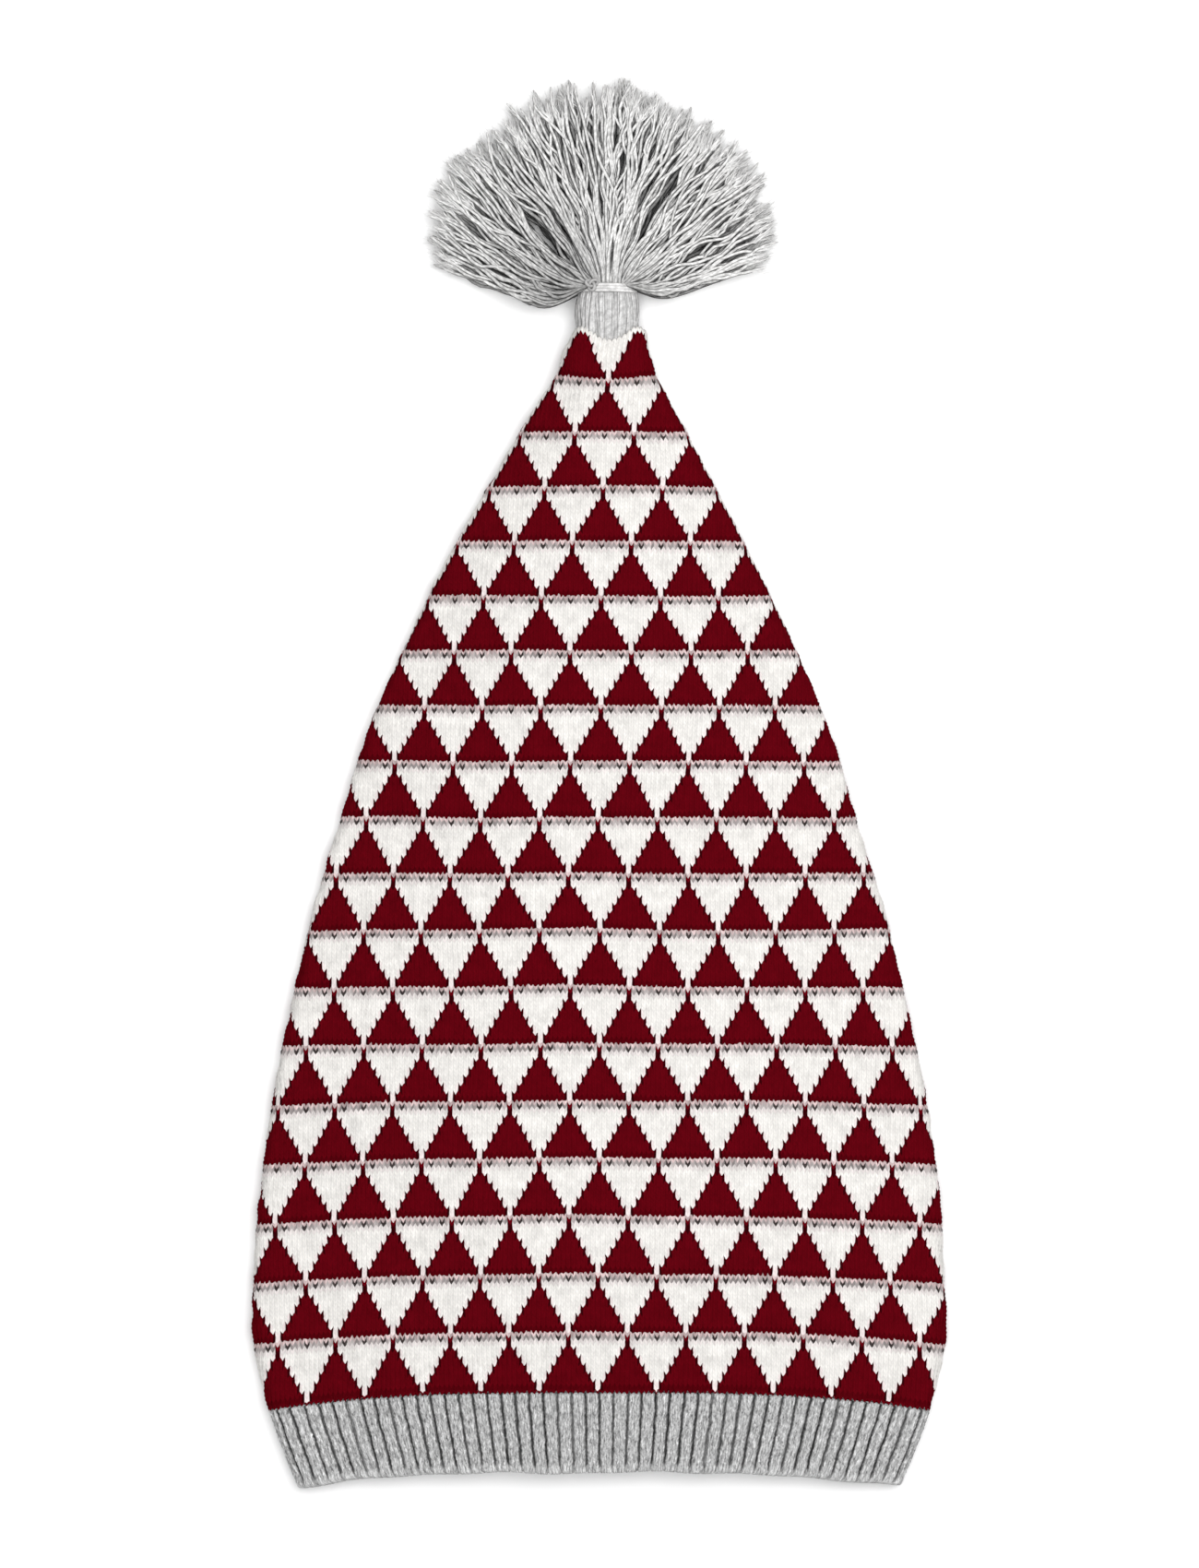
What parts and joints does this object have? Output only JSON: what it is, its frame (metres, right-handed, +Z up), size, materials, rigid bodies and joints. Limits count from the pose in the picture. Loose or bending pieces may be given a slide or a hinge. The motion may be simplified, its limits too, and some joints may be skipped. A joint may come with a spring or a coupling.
{
  "type": "knitted pixie hat with tassel",
  "caption": "Long knitted pixie hat lying flat: a hollow body that tapers to a tip, a ribbed band round its mouth, and a tied yarn tassel fanned out at the tip.",
  "frame": {"origin": "on the surface that the hat lies on, under the middle of its outline", "axes": "+Y from the mouth to the tip, +X across the hat, +Z up from the surface"},
  "size_m": [0.2346, 0.4756, 0.0222],
  "materials": {
    "jacquard_knit": "matt wool-mix jacquard knit, dark red and off-white triangles with a pinkish grey strip at the top of each row",
    "rib_knit": "matt heather grey rib knit",
    "tassel_yarn": "matt light grey plied yarn with frayed ends",
    "tie_yarn": "matt light grey plied yarn, wound"
  },
  "bodies": {
    "root": {"hat_body": "jacquard_knit", "rib_band": "rib_knit", "tassel": "tassel_yarn", "tassel_tie": "tie_yarn"}
  },
  "joints": []
}
